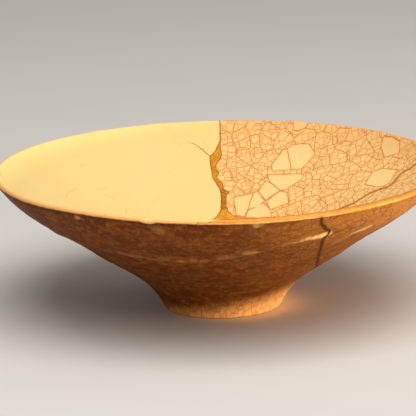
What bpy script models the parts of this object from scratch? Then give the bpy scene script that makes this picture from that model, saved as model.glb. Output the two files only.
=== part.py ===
"""A wide stoneware tea bowl, broken in four and mended with lacquer and gold.

Four shards, the lacquer that bonds them, the gold laid in along the joints inside the bowl and
the gold that rebuilds part of the lip are separate solids. The bowl is turned whole, then cut
along its breaks. The origin is at the centre of the foot's underside, and +Y is the back.
A bearing is an angle in plan, in degrees clockwise from +Y when the bowl is seen from above.
"""
import math

import bmesh
import bpy
from mathutils import Vector
from mathutils.geometry import interpolate_bezier

# The turned body, in metres and degrees
RIM_RADIUS = 0.0750
HEIGHT = 0.0477
LIP_ROUND = 0.0010
RIM_ANGLE = 57.0
BELLY_RADIUS = 0.0454
BELLY_HEIGHT = 0.0230
BELLY_ANGLE = 36.8
BELLY_WALL = 0.0040
FLOOR_HEIGHT = 0.0075
WELL_HANDLE = 0.020
FOOT_RADIUS = 0.0200
FOOT_ANGLE = 67.0
FOOT_EDGE_ROUND = 0.0014
FOOT_RING_WIDTH = 0.0050
FOOT_RECESS = 0.0030

# The mends
BOND_WIDTH = 0.0005
GOLD_HALF_WIDTH = 0.0022
GOLD_DEPTH = 0.0008
GOLD_PROUD = 0.0003
GOLD_LIP_HEIGHT = 0.0017
GOLD_LIP_START = 88.0
GOLD_LIP_END = 186.0
GAP = 0.0003

# The facets of the turned solids, and how far cutters pass them as a share of the rim's radius
TURN_STEPS = 60
HANDLE_SHARE = 1 / 3
STATION_STEPS = 2
WELD = 0.00001
OVERRUN = 0.1

# The breaks: share of the rim's radius, bearing and share of the gold's greatest half-width.
# They meet at a fork behind the foot and at a junction to its right.
FORK = (0.462, 0.3)
JUNCTION = (0.530, 62.8)

# From the back rim past the fork and round the left of the foot to the front rim
MAIN_BREAK = [
    (1.04, 0.6, 0), (0.94, 0.6, 0), (0.90, 0.5, 0.14), (0.845, -0.4, 0.50), (0.810, -1.1, 0.73),
    (0.775, -1.8, 0.50), (0.745, -2.0, 0.45), (0.710, -1.6, 0.50), (0.675, -1.0, 0.45),
    (0.640, 0.4, 0.50), (0.595, 1.5, 0.55), (0.550, 1.6, 0.41), (0.515, 1.5, 0.55),
    (0.490, 1.2, 0.82), (*FORK, 1), (0.437, -5, 0.91), (0.424, -12, 0.82),
    (0.415, -36, 0.73), (0.405, -66, 0.73), (0.395, -98, 0.59), (0.400, -128, 0.68),
    (0.440, -148, 0.55), (0.540, -163, 0.45), (0.690, -171, 0.41), (0.840, -174, 0.32),
    (0.935, -174.3, 0.23), (1.04, -174.3, 0),
]
# From the fork past the junction to the right rim, gilded as far as the junction
RIGHT_BREAK = [
    (*FORK, 1), (0.449, 5, 0.95), (0.438, 13, 0.86), (0.437, 24, 0.77), (0.447, 38, 0.64),
    (0.480, 52, 0.45), (*JUNCTION, 0.18), (0.64, 70.4, 0), (0.74, 73.1, 0), (0.79, 77, 0),
    (0.855, 74.7, 0), (0.91, 77, 0), (1.04, 77.5, 0),
]
# From the junction to the front rim, with no gold
FRONT_BREAK = [
    (*JUNCTION, 0), (0.455, 75, 0), (0.425, 95, 0), (0.44, 113, 0), (0.52, 128, 0), (0.60, 137, 0),
    (0.70, 144, 0), (0.80, 149, 0), (0.88, 150.5, 0), (0.93, 153.5, 0), (1.04, 156, 0),
]

# A point well inside each shard: share of the rim's radius and bearing
SHARDS = {
    "ivory_shard": (0.60, -90),
    "crackled_shard": (0.72, 36),
    "rim_shard": (0.74, 115),
    "foot_shard": (0.15, 170),
}

COLOURS = {
    "ivory_glaze": ((0.93, 0.80, 0.52), 0.35, 0.0),
    "crackled_glaze": ((0.90, 0.72, 0.46), 0.38, 0.0),
    "brown_lacquer": ((0.13, 0.05, 0.015), 0.40, 0.0),
    "gold_powder": ((0.68, 0.38, 0.06), 0.42, 0.9),
}


def clear_scene():
    for thing in list(bpy.data.objects):
        bpy.data.objects.remove(thing, do_unlink=True)


def new_collection(name):
    collection = bpy.data.collections.new(name)
    bpy.context.scene.collection.children.link(collection)
    return collection


def new_material(name):
    colour, roughness, metallic = COLOURS[name]
    material = bpy.data.materials.new(name)
    material.use_nodes = True
    shader = material.node_tree.nodes["Principled BSDF"]
    shader.inputs["Base Color"].default_value = (*colour, 1)
    shader.inputs["Roughness"].default_value = roughness
    shader.inputs["Metallic"].default_value = metallic
    return material


def direction(angle):
    """A unit step in the profile's plane, rising at an angle in degrees."""
    return Vector((math.cos(math.radians(angle)), math.sin(math.radians(angle)), 0))


def arc(centre, radius, start, end, steps):
    """Points round a centre in the profile's plane, between two angles in degrees."""
    angles = (start + (end - start) * i / steps for i in range(steps + 1))
    return [centre + radius * direction(angle) for angle in angles]


def sweep(start, start_angle, end, end_angle, steps, start_handle=None):
    """A cubic curve that leaves and arrives at the given slopes."""
    length = (end - start).length
    leave = start + direction(start_angle) * (start_handle or length * HANDLE_SHARE)
    arrive = end - direction(end_angle) * length * HANDLE_SHARE
    return interpolate_bezier(start, leave, arrive, end, steps + 1)


def lip_centre():
    return Vector((RIM_RADIUS - LIP_ROUND, HEIGHT - LIP_ROUND, 0))


def outer_face():
    """The outside from the foot's lower edge to the lip."""
    inset = FOOT_EDGE_ROUND * math.sin(math.radians(FOOT_ANGLE))
    edge_centre = Vector((FOOT_RADIUS - inset, FOOT_EDGE_ROUND, 0))
    edge = arc(edge_centre, FOOT_EDGE_ROUND, -90, FOOT_ANGLE - 90, 3)
    belly = Vector((BELLY_RADIUS, BELLY_HEIGHT, 0))
    lip = lip_centre() + LIP_ROUND * direction(RIM_ANGLE - 90)
    lower = sweep(edge[-1], FOOT_ANGLE, belly, BELLY_ANGLE, 6)
    upper = sweep(belly, BELLY_ANGLE, lip, RIM_ANGLE, 5)
    return edge + lower[1:] + upper[1:]


def inner_face():
    """The inside from the middle of the well to the lip."""
    floor = Vector((0, FLOOR_HEIGHT, 0))
    belly = Vector((BELLY_RADIUS, BELLY_HEIGHT, 0)) + BELLY_WALL * direction(BELLY_ANGLE + 90)
    lip = lip_centre() + LIP_ROUND * direction(RIM_ANGLE + 90)
    well = sweep(floor, 0, belly, BELLY_ANGLE, 7, WELL_HANDLE)
    wall = sweep(belly, BELLY_ANGLE, lip, RIM_ANGLE, 5)
    return well + wall[1:]


def underside():
    """The flat foot ring and the recess inside it, out to in."""
    ring_inside = outer_face()[0].x - FOOT_RING_WIDTH
    round_centre = Vector((ring_inside - FOOT_EDGE_ROUND, FOOT_RECESS - FOOT_EDGE_ROUND, 0))
    corner = arc(round_centre, FOOT_EDGE_ROUND, 0, 90, 2)
    return [Vector((ring_inside, 0, 0))] + corner + [Vector((0, FOOT_RECESS, 0))]


def bowl_profile():
    """The whole section, from the well over the lip and down the outside to the recess."""
    lip = arc(lip_centre(), LIP_ROUND, RIM_ANGLE + 90, RIM_ANGLE - 90, 5)
    return inner_face() + lip[1:-1] + outer_face()[::-1] + underside()


def layer_profile(rise, sink):
    """A closed band over the inside, from a height above the glaze to a depth below it."""
    face = [point for point in inner_face() if point.x > FOOT_RADIUS]
    slopes = [(after - before).normalized() for before, after in zip(face, face[1:])]
    slopes.append(slopes[-1])
    normals = [Vector((-slope.y, slope.x, 0)) for slope in slopes]
    above = [point + normal * rise for point, normal in zip(face, normals)]
    below = [point - normal * sink for point, normal in zip(face, normals)]
    return above + below[::-1] + above[:1]


def as_guide(thing):
    thing.hide_render = True
    thing.display_type = "WIRE"
    return thing


def add_object(name, mesh, collection):
    thing = bpy.data.objects.new(name, mesh)
    collection.objects.link(thing)
    return thing


def turned(name, profile, collection):
    """A solid of revolution about the Z axis."""
    mesh = bpy.data.meshes.new(name)
    points = [(point.x, 0, point.y) for point in profile]
    closed = profile[0] == profile[-1]
    if closed:
        points = points[:-1]
    edges = [(i, i + 1) for i in range(len(points) - 1)]
    if closed:
        edges.append((len(points) - 1, 0))
    mesh.from_pydata(points, edges, [])
    thing = add_object(name, mesh, collection)
    screw = thing.modifiers.new("turn", "SCREW")
    screw.axis = "Z"
    screw.steps = TURN_STEPS
    screw.render_steps = TURN_STEPS
    screw.use_merge_vertices = True
    screw.merge_threshold = WELD
    screw.use_smooth_shade = False
    return as_guide(thing)


def in_plan(share, bearing):
    angle = math.radians(bearing)
    return Vector((math.sin(angle), math.cos(angle), 0)) * share * RIM_RADIUS


def smooth_between(before, start, end, after, t):
    """A Catmull-Rom step between two values, for numbers and vectors alike."""
    return 0.5 * (
        2 * start + (end - before) * t + (2 * before - 5 * start + 4 * end - after) * t ** 2
        + (3 * start - before - 3 * end + after) * t ** 3
    )


def smooth_stations(stations):
    """The break as closely spaced points and half-widths on a smooth line."""
    points = [in_plan(share, bearing) for share, bearing, gold in stations]
    widths = [gold * GOLD_HALF_WIDTH for share, bearing, gold in stations]
    line = []
    for i in range(len(points) - 1):
        ring = [max(i - 1, 0), i, i + 1, min(i + 2, len(points) - 1)]
        for step in range(STATION_STEPS):
            t = step / STATION_STEPS
            point = smooth_between(*(points[j] for j in ring), t)
            line.append((point, max(0, smooth_between(*(widths[j] for j in ring), t))))
    line.append((points[-1], widths[-1]))
    return line


def strip_outline(line):
    """A closed outline in plan, at each station's half-width on both sides of the line."""
    left, right = [], []
    for i, (point, half_width) in enumerate(line):
        along = line[min(i + 1, len(line) - 1)][0] - line[max(i - 1, 0)][0]
        aside = Vector((-along.y, along.x, 0)).normalized() * half_width
        left.append(point + aside)
        right.append(point - aside)
    return left + right[::-1]


def prism(name, outline, low, high, collection):
    """An upright solid with the given outline in plan."""
    shape = bmesh.new()
    base = shape.faces.new([shape.verts.new((point.x, point.y, low)) for point in outline])
    top = bmesh.ops.extrude_face_region(shape, geom=[base])["geom"]
    corners = [part for part in top if isinstance(part, bmesh.types.BMVert)]
    bmesh.ops.translate(shape, verts=corners, vec=(0, 0, high - low))
    bmesh.ops.recalc_face_normals(shape, faces=shape.faces[:])
    mesh = bpy.data.meshes.new(name)
    shape.to_mesh(mesh)
    shape.free()
    return as_guide(add_object(name, mesh, collection))


def combine(thing, other, operation):
    modifier = thing.modifiers.new(operation.lower(), "BOOLEAN")
    modifier.operation = operation
    modifier.solver = "EXACT"
    modifier.object = other


def evaluated_mesh(thing):
    bpy.context.view_layer.update()
    return bpy.data.meshes.new_from_object(thing.evaluated_get(bpy.context.evaluated_depsgraph_get()))


def bond_walls(name, clearance, collection):
    """Upright walls along every break, joined into one cutter."""
    half_width = BOND_WIDTH / 2 + clearance
    walls = []
    for i, stations in enumerate((MAIN_BREAK, RIGHT_BREAK, FRONT_BREAK)):
        line = [(point, half_width) for point, gold in smooth_stations(stations)]
        reach = RIM_RADIUS * OVERRUN * (1 + i / 10)
        walls.append(prism(f"{name}_{i}", strip_outline(line), -reach, HEIGHT + reach, collection))
    for wall in walls[1:]:
        combine(walls[0], wall, "UNION")
    return walls[0]


def gold_bands(name, clearance, collection):
    """The outlines of the gold on the two gilded breaks, joined into one cutter."""
    bands = []
    for i, stations in enumerate((MAIN_BREAK, RIGHT_BREAK)):
        gilded = [station for station in stations if station[2] > 0]
        line = [(point, half_width + clearance) for point, half_width in smooth_stations(gilded)]
        reach = RIM_RADIUS * OVERRUN * (1 + i / 10)
        bands.append(prism(f"{name}_{i}", strip_outline(line), -reach, HEIGHT + reach, collection))
    combine(bands[0], bands[1], "UNION")
    return bands[0]


def lip_sector(name, clearance, collection):
    """A wedge of space over the gilded part of the lip."""
    spread = math.degrees(clearance / RIM_RADIUS)
    start, end = GOLD_LIP_START - spread, GOLD_LIP_END + spread
    steps = round((end - start) * TURN_STEPS / 360)
    outer = [in_plan(1 + OVERRUN, start + (end - start) * i / steps) for i in range(steps + 1)]
    inner = [point / 2 for point in reversed(outer)]
    bottom = HEIGHT - GOLD_LIP_HEIGHT - clearance
    return prism(name, outer + inner, bottom, HEIGHT + RIM_RADIUS * OVERRUN, collection)


def islands(shape):
    """The separate bodies of a mesh, each as a set of its faces."""
    left = set(shape.faces)
    while left:
        body = set()
        edge_of_body = [left.pop()]
        while edge_of_body:
            face = edge_of_body.pop()
            body.add(face)
            for edge in face.edges:
                for neighbour in edge.link_faces:
                    if neighbour in left:
                        left.remove(neighbour)
                        edge_of_body.append(neighbour)
        yield body


def nearest_shard(body):
    corners = {corner for face in body for corner in face.verts}
    middle = sum((corner.co for corner in corners), Vector()) / len(corners)
    middle.z = 0
    return min(SHARDS, key=lambda name: (in_plan(*SHARDS[name]) - middle).length)


def finish(thing, material):
    thing.data.materials.clear()
    thing.data.materials.append(material)
    thing.data.shade_smooth()
    thing.data.set_sharp_from_angle(angle=math.radians(32))


def add_shards(broken_bowl, materials, collection):
    """One object for each shard of the cut bowl."""
    whole = evaluated_mesh(broken_bowl)
    shape = bmesh.new()
    shape.from_mesh(whole)
    owners = {face.index: nearest_shard(body) for body in islands(shape) for face in body}
    shape.free()
    for name in SHARDS:
        shape = bmesh.new()
        shape.from_mesh(whole)
        others = [face for face in shape.faces if owners[face.index] != name]
        bmesh.ops.delete(shape, geom=others, context="FACES")
        mesh = bpy.data.meshes.new(name)
        shape.to_mesh(mesh)
        shape.free()
        glaze = "ivory_glaze" if name == "ivory_shard" else "crackled_glaze"
        finish(add_object(name, mesh, collection), materials[glaze])
    bpy.data.meshes.remove(whole)


def add_from_guide(name, guide, material, collection):
    """A visible piece made from a guide's finished shape."""
    mesh = evaluated_mesh(guide)
    mesh.name = name
    finish(add_object(name, mesh, collection), material)


def build():
    clear_scene()
    parts = new_collection("kintsugi_bowl")
    guides = new_collection("guides")
    materials = {name: new_material(name) for name in COLOURS}

    pocket = turned("gold_pocket", layer_profile(GOLD_PROUD * 10, GOLD_DEPTH + GAP), guides)
    combine(pocket, gold_bands("pocket_bands", GAP, guides), "INTERSECT")
    lip_room = lip_sector("lip_room", GAP, guides)

    broken_bowl = turned("broken_bowl", bowl_profile(), guides)
    combine(broken_bowl, bond_walls("break_walls", GAP, guides), "DIFFERENCE")
    combine(broken_bowl, pocket, "DIFFERENCE")
    combine(broken_bowl, lip_room, "DIFFERENCE")
    add_shards(broken_bowl, materials, parts)

    bond = turned("bond", bowl_profile(), guides)
    combine(bond, bond_walls("bond_walls", 0, guides), "INTERSECT")
    combine(bond, pocket, "DIFFERENCE")
    combine(bond, lip_room, "DIFFERENCE")
    add_from_guide("lacquer_seam", bond, materials["brown_lacquer"], parts)

    inlay = turned("inlay", layer_profile(GOLD_PROUD, GOLD_DEPTH), guides)
    combine(inlay, gold_bands("inlay_bands", 0, guides), "INTERSECT")
    add_from_guide("gold_seam", inlay, materials["gold_powder"], parts)

    lip = turned("lip", bowl_profile(), guides)
    combine(lip, lip_sector("lip_band", 0, guides), "INTERSECT")
    add_from_guide("gold_rim", lip, materials["gold_powder"], parts)


build()
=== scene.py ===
"""The looks of a mended tea bowl: four glazed shards, dark lacquer, a gold seam and a gold lip.

The bowl is turned whole by spinning its section, then cut along its breaks. Lengths are in metres,
and the glaze patterns work in millimetres. A bearing is an angle in plan, in degrees clockwise from
+Y when the bowl is seen from above.
"""
import math

import bpy
import numpy as np
from bpy.props import FloatProperty, FloatVectorProperty, IntProperty, PointerProperty
from mathutils import Matrix, Vector, noise
from mathutils.geometry import interpolate_bezier


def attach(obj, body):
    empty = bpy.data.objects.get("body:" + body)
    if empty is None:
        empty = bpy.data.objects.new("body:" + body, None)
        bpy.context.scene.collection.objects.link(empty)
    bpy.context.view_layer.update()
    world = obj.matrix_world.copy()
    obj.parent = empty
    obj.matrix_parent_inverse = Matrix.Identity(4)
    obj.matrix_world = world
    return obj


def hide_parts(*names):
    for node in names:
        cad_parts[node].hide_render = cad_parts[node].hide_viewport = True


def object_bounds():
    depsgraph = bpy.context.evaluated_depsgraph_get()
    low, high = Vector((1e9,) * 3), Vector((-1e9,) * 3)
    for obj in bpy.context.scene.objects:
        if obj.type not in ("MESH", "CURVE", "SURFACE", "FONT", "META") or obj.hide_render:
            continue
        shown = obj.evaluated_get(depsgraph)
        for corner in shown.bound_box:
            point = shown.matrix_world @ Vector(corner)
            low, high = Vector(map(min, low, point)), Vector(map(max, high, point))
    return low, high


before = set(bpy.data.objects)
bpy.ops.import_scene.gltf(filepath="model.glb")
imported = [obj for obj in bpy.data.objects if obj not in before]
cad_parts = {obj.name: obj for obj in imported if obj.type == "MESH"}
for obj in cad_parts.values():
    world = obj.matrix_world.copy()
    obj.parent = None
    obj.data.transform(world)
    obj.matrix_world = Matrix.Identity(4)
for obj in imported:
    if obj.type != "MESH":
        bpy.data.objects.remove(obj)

bl_info = {
    "name": "Mended tea bowl",
    "version": (1, 0, 0),
    "blender": (4, 5, 0),
    "location": "3D View > Sidebar > Mended Bowl",
    "description": "Turns a tea bowl, breaks it, and mends it with lacquer and gold",
    "category": "Object",
}

MM = 0.001
CAD_LOW, CAD_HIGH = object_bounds()

# Facets of the section: the well and the wall inside, the lip, and the wall outside in two parts
WELL_STEPS = 40
WALL_STEPS = 34
LIP_STEPS = 12
LOWER_STEPS = 50
UPPER_STEPS = 64
# Corners closer than this become one
WELD = 0.002 * MM

# The breaks: share of the rim's radius, bearing and half the width of the gold, in millimetres.
FORK = (0.462, 0.3)
JUNCTION = (0.530, 62.8)
MAIN_BREAK = [
    (1.04, 0.6, 0), (0.94, 0.6, 0), (0.90, 0.5, 0.3), (0.845, -0.4, 1.1), (0.810, -1.1, 1.6),
    (0.775, -1.8, 1.1), (0.745, -2.0, 1.0), (0.710, -1.6, 1.1), (0.675, -1.0, 1.0),
    (0.640, 0.4, 1.1), (0.595, 1.5, 1.2), (0.550, 1.6, 0.9), (0.515, 1.5, 1.2),
    (0.490, 1.2, 1.8), (*FORK, 2.2), (0.437, -5, 2.0), (0.424, -12, 1.8),
    (0.415, -36, 1.6), (0.405, -66, 1.6), (0.395, -98, 1.3), (0.400, -128, 1.5),
    (0.440, -148, 1.2), (0.540, -163, 1.0), (0.690, -171, 0.9), (0.840, -174, 0.7),
    (0.935, -174.3, 0.5), (1.04, -174.3, 0),
]
RIGHT_BREAK = [
    (*FORK, 2.2), (0.449, 5, 2.1), (0.438, 13, 1.9), (0.437, 24, 1.7), (0.447, 38, 1.4),
    (0.480, 52, 1.0), (*JUNCTION, 0.4), (0.59, 66.0, 0), (0.64, 69.9, 0), (0.71, 71.1, 0),
    (0.765, 73.6, 0), (0.792, 75.7, 0), (0.827, 74.3, 0), (0.865, 72.9, 0), (0.92, 75.0, 0),
    (1.04, 76.5, 0),
]
FRONT_BREAK = [
    (*JUNCTION, 0), (0.455, 75, 0), (0.425, 95, 0), (0.44, 113, 0), (0.52, 128, 0), (0.60, 137, 0),
    (0.69, 143.4, 0), (0.775, 147.4, 0), (0.855, 150.6, 0), (0.92, 151.2, 0), (0.955, 153.8, 0),
    (0.99, 155.7, 0), (1.04, 156, 0),
]
BREAKS = (MAIN_BREAK, RIGHT_BREAK, FRONT_BREAK)
# Half the width of the lacquer in each break, in millimetres
BOND_HALF_WIDTHS = (0.19, 0.42, 0.40)

# The gold where the seam comes down to the fork: its two edges and its foot in plan, in millimetres
GOLD_LEFT_EDGE = [
    (0.6, 68.0), (0.0, 66.7), (-1.0, 64.6), (-2.1, 62.9), (-3.0, 61.6), (-3.2, 60.1), (-3.0, 57.7),
    (-2.8, 55.8), (-2.5, 52.8), (-2.1, 50.8), (-1.3, 49.1), (-0.4, 47.3), (0.2, 45.7), (0.4, 43.9),
    (0.4, 41.7), (0.3, 40.0), (0.1, 38.6), (-0.5, 37.3), (-1.5, 36.0), (-2.8, 35.2), (-4.3, 34.5),
    (-5.7, 34.0), (-7.4, 33.2),
]
GOLD_RIGHT_EDGE = [
    (0.7, 68.0), (0.7, 66.6), (0.8, 64.7), (1.1, 62.8), (0.8, 61.5), (0.3, 60.3), (-0.6, 58.7),
    (-1.1, 56.7), (-0.7, 55.1), (-0.1, 53.4), (-0.9, 52.2), (-0.3, 50.8), (0.8, 49.4), (1.2, 48.3),
    (1.5, 46.5), (3.3, 44.9), (2.5, 44.2), (2.3, 43.2), (2.1, 41.4), (2.2, 39.6), (2.7, 38.2),
    (3.5, 37.0), (5.0, 36.1), (7.0, 35.3), (9.0, 34.5), (11.0, 33.7), (13.5, 32.8), (17.5, 31.4),
]
GOLD_FOOT = [(-5.0, 29.6), (5.0, 30.0), (15.0, 27.6)]

# The hairline that runs from the gold into the ivory glaze, as the breaks are given
HAIRLINE = [
    (0.820, -2.7, 0.24), (0.837, -3.5, 0.24), (0.851, -4.4, 0.24), (0.866, -5.3, 0.21),
    (0.875, -5.9, 0.19), (0.886, -6.6, 0.15), (0.898, -7.7, 0.11), (0.907, -9.1, 0.07),
    (0.912, -10.0, 0.03),
]

# A point well inside each shard: share of the rim's radius and bearing
SHARDS = {
    "ivory_shard": (0.60, -90),
    "crackled_shard": (0.72, 36),
    "rim_shard": (0.74, 115),
    "foot_shard": (0.15, 170),
}

# The throwing ridge on the outside: bearing and height in millimetres, for each piece that has it
RIDGES = {
    "ivory_shard": [
        (-180, 29.2), (-166, 29.0), (-155, 29.2), (-137, 30.7), (-110, 31.5), (-60, 32.5), (0, 34),
    ],
    "foot_shard": [
        (140, 39.0), (154, 38.1), (159, 37.1), (164, 36.0), (172, 33.1), (178, 31.3), (186, 29.2),
    ],
    "rim_shard": [
        (77, 40.5), (100, 40.0), (126, 38.9), (134, 38.4), (138.5, 36.8), (144, 31.8), (150, 28.5),
    ],
    "crackled_shard": [(0, 34), (40, 37), (77, 40)],
    "lacquer_bond": [(-175, 29.2), (0, 34), (77, 40.2), (140, 38.6), (156, 37.6), (180, 30.5)],
}

# How the hand-turned rim leaves its level: bearing, spread in degrees and height in millimetres
RIM_WAVES = [
    (-143, 12, 0.22), (-178, 22, -0.35), (176, 9, -0.12), (156, 22, -0.62), (128, 14, -0.25),
    (-10, 55, -0.36),
]
# Bumps and a nick on the lip, given in the same way
LIP_BUMPS = [
    (-35.7, 1.2, 0.22), (-17.7, 2.6, 0.18), (22.0, 2.6, 0.40), (-161.9, 1.5, -0.3), (-170.5, 2.0, -0.2),
]

# Thick pale glaze outside, painted brighter as highlights where it catches the light: place, reach in
# millimetres and strength
PALE_RUNS_AND_HIGHLIGHTS = [
    (-45.1, -59.1, 45.2, 1.2, 0.45), (-19.8, -70.2, 43.6, 2.6, 0.10), (10.4, -73.5, 45.5, 1.6, 0.4),
    (12.0, -73.3, 45.6, 1.2, 0.25), (32.6, -59.4, 38.3, 1.9, 1.0), (31.0, -59.6, 37.9, 2.0, 1.0),
    (28.9, -60.3, 37.5, 1.8, 0.9), (26.8, -61.2, 37.3, 1.4, 0.65), (24.8, -61.1, 36.8, 1.2, 0.45),
    (22.6, -61.5, 36.6, 1.0, 0.3), (41.5, -49.5, 35.7, 1.1, 0.5), (43.0, -49.1, 36.2, 1.3, 0.55),
    (44.8, -48.4, 36.8, 1.3, 0.55), (46.6, -47.8, 37.4, 1.1, 0.5), (7.7, -60.0, 32.9, 1.8, 0.17),
    (10.2, -60.0, 33.1, 1.8, 0.17), (3.0, -57.4, 30.9, 1.8, 0.09), (-5.4, -54.8, 29.4, 1.8, 0.09),
    (-36.5, -42.4, 29.9, 1.6, 0.10), (-28.7, -46.8, 29.4, 1.8, 0.08), (-13.4, -52.5, 28.8, 1.8, 0.10),
]
# Rusty glaze on the rim, given in the same way
RUST_SPOTS = [
    (3.2, 73.9, 47.5, 0.9, 0.8), (5.2, 73.8, 47.5, 1.1, 0.9), (7.0, 73.7, 47.5, 0.8, 0.6),
    (-74.4, -3.0, 47.2, 2.2, 0.8),
]
# Bare clay on the edge of the lip, given in the same way
CHIPS = [(-22.9, -71.4, 46.2, 2.6, 1.0)]
# Thick dark lacquer beside the gold, and gold worn to specks, given in the same way
THICK_LACQUER = [(-1.5, 36.1, 21.1, 1.9, 1.0), (2.9, 37.8, 22.3, 1.8, 1.0), (4.2, 36.4, 21.4, 1.3, 0.8)]
WORN_GOLD = [
    (1.4, 44.9, 27.6, 1.7, 1.0), (1.2, 42.9, 26.2, 1.7, 1.0), (1.2, 41.2, 25.0, 1.6, 0.9),
    (1.2, 39.4, 23.7, 1.5, 0.7),
]
# Glaze that hides the lacquer at the front of the lip, given in the same way
COVERED_LACQUER = [(-6.4, -73.8, 47.3, 2.0, 1.0)]
# Plain glaze on the lip of the crackled shards, given in the same way
PLAIN_LIP = [(-5.2, -73.8, 47.4, 2.2, 1.0), (-2.6, -73.9, 47.4, 2.2, 1.0)]

# The large unbroken cells in the crackle, as corners in plan, in millimetres
PALE_CELLS = [
    [(22.8, 60.7), (24.4, 60.8), (25.4, 50.5), (18.6, 51.7), (18.5, 55.0)],
    [(24.4, 60.8), (26.4, 61.5), (28.9, 61.1), (32.3, 59.5), (34.0, 54.6), (29.1, 49.4), (25.4, 50.5)],
    [(17.0, 50.6), (28.3, 47.2), (29.6, 45.5), (28.1, 43.6), (23.0, 41.2), (21.1, 41.6), (17.6, 46.8)],
    [(16.2, 47.7), (17.6, 46.6), (21.1, 41.6), (15.8, 39.4), (13.4, 43.5)],
    [(11.9, 43.6), (13.4, 43.5), (15.7, 39.2), (13.5, 37.8), (9.6, 37.7)],
    [(4.7, 42.9), (11.8, 43.6), (9.6, 37.7), (8.4, 35.1), (5.1, 36.4), (5.0, 40.3)],
    [(16.2, 39.0), (21.1, 41.3), (23.5, 39.6), (23.8, 35.0), (17.3, 35.3)],
    [(9.7, 37.4), (15.4, 38.6), (17.3, 35.3), (17.7, 32.2), (8.8, 34.8)],
    [(26.6, 66.3), (26.8, 67.6), (28.0, 70.5), (31.0, 69.0), (32.6, 66.4), (31.4, 65.3), (28.4, 65.5)],
    [(49.8, 25.9), (52.5, 31.2), (56.0, 30.4), (60.8, 23.8), (58.5, 19.1), (56.4, 17.2), (53.6, 19.2)],
    [(56.4, 41.9), (57.7, 44.5), (60.3, 41.3), (62.7, 36.7), (62.1, 32.2), (59.6, 34.0), (57.1, 36.0)],
]

# Sizes of the crackle's cells in millimetres: three generations of cracks inside
FIRST_CRACKLE = 6.4
SECOND_CRACKLE = 2.9
THIRD_CRACKLE = 1.7
# The outside's coarse and fine cells and the tall ones of the foot
COARSE_OUTSIDE = 3.4
FINE_OUTSIDE = 1.6
TALL_OUTSIDE = 1.9
# The cells whose sides are the hairlines of the plain glaze
HAIRLINE_CELLS = 17.0

# The gold lip, in degrees: its bare end and its taper, and where it grows thick and over how far
LIP_BARE = 2.5
LIP_TAPER = 9
THICK_FROM = 160
THICK_OVER = 40
# How far it reaches inside from the top of the lip, in millimetres along the section: at its
# plainest, the more where it is thick, the more or less by chance, and how far short at its end
INSIDE_REACH = 1.5
INSIDE_THICK = 1.1
INSIDE_UNEVEN = 0.4
INSIDE_END = 1.2
# How far it reaches outside, in the same way, and where it ends
OUTSIDE_REACH = 1.30
OUTSIDE_THICK = 1.0
OUTSIDE_UNEVEN = 0.25
OUTSIDE_END = 1.35
# The flat strip that is bent over the lip: half its width, and its facets on top, below and round
STRIP_HALF = 5 * MM
STRIP_TOP = 24
STRIP_BASE = 12
STRIP_TURN = 300

# The lights: place, size, power and colour
LIGHTS = {
    "overhead": ((0.12, -0.40, 1.0), (1.1, 1.1), 12, (1.0, 0.99, 0.97)),
    "low_side": ((0.92, -0.26, 0.05), (0.7, 0.08), 10, (1.0, 0.88, 0.72)),
    "low_front": ((0.10, -0.95, 0.024), (0.6, 0.04), 2.4, (1.0, 0.86, 0.68)),
}


def length_property(label, words, metres):
    return FloatProperty(name=label, description=words, default=metres, unit="LENGTH")


def angle_property(label, words, degrees):
    return FloatProperty(name=label, description=f"{words}, in degrees", default=degrees)


def count_property(label, words, count):
    return IntProperty(name=label, description=words, default=count)


def colour_property(label, words, value):
    return FloatVectorProperty(name=label, description=words, subtype="COLOR", size=3, min=0, max=1,
                               default=value)


class BowlForm(bpy.types.PropertyGroup):
    """The turned body."""

    rim_radius: length_property("Rim radius", "Outer radius of the mouth", CAD_HIGH.x)
    height: length_property("Height", "From the table to the top of the lip", CAD_HIGH.z)
    lip_round: length_property("Lip radius", "Half the thickness of the lip", 1.0 * MM)
    rim_angle: angle_property("Rim angle", "Slope of the wall under the lip", 57.0)
    belly_radius: length_property("Belly radius", "Outer radius halfway up the wall", 45.4 * MM)
    belly_height: length_property("Belly height", "Height of that point of the outside", 23.0 * MM)
    belly_angle: angle_property("Belly angle", "Slope of the wall there", 36.8)
    belly_wall: length_property("Wall", "Thickness of the wall halfway up", 4.0 * MM)
    floor_height: length_property("Floor height", "Height of the middle of the well", 7.5 * MM)
    well_handle: length_property("Well reach", "How far the flat of the well runs out", 20 * MM)
    foot_radius: length_property("Foot radius", "Outer radius of the foot ring", 20 * MM)
    foot_angle: angle_property("Foot angle", "Slope of the foot's side", 67.0)
    foot_edge: length_property("Foot edge", "Radius of the foot ring's edges", 1.4 * MM)
    foot_ring: length_property("Foot ring width", "Width of the flat the bowl stands on", 5 * MM)
    foot_recess: length_property("Foot recess", "Depth of the hollow inside the foot ring", 3 * MM)
    ridge_rise: length_property("Ridge", "Height of the throwing ridge outside", 0.30 * MM)
    turn_steps: count_property("Turn steps", "Facets round the bowl", 360)
    sheet_steps: count_property("Sheet steps", "Facets round the sheets for the inlays", 180)


class MendForm(bpy.types.PropertyGroup):
    """The lacquer and the gold."""

    gold_rise: length_property("Gold rise", "Height of the gold above the glaze", 0.32 * MM)
    gold_sink: length_property("Gold depth", "Depth of the gold below the glaze", 0.8 * MM)
    gold_grain: length_property("Gold grain", "Size of the mesh cells of the gold", 0.17 * MM)
    edging_width: length_property("Lacquer edging", "Lacquer that shows beside the gold", 0.19 * MM)
    edging_grain: length_property("Edging grain", "Size of the mesh cells of that lacquer", 0.15 * MM)
    edging_rise: length_property("Edging rise", "Height of that lacquer above the glaze", 0.07 * MM)
    lip_rise: length_property("Lip rise", "Height of the gold above the lip", 0.17 * MM)
    lip_start: angle_property("Gold lip start", "Bearing where the gold lip starts", 88.0)
    lip_end: angle_property("Gold lip end", "Bearing where the gold lip ends", 186.0)


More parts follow.
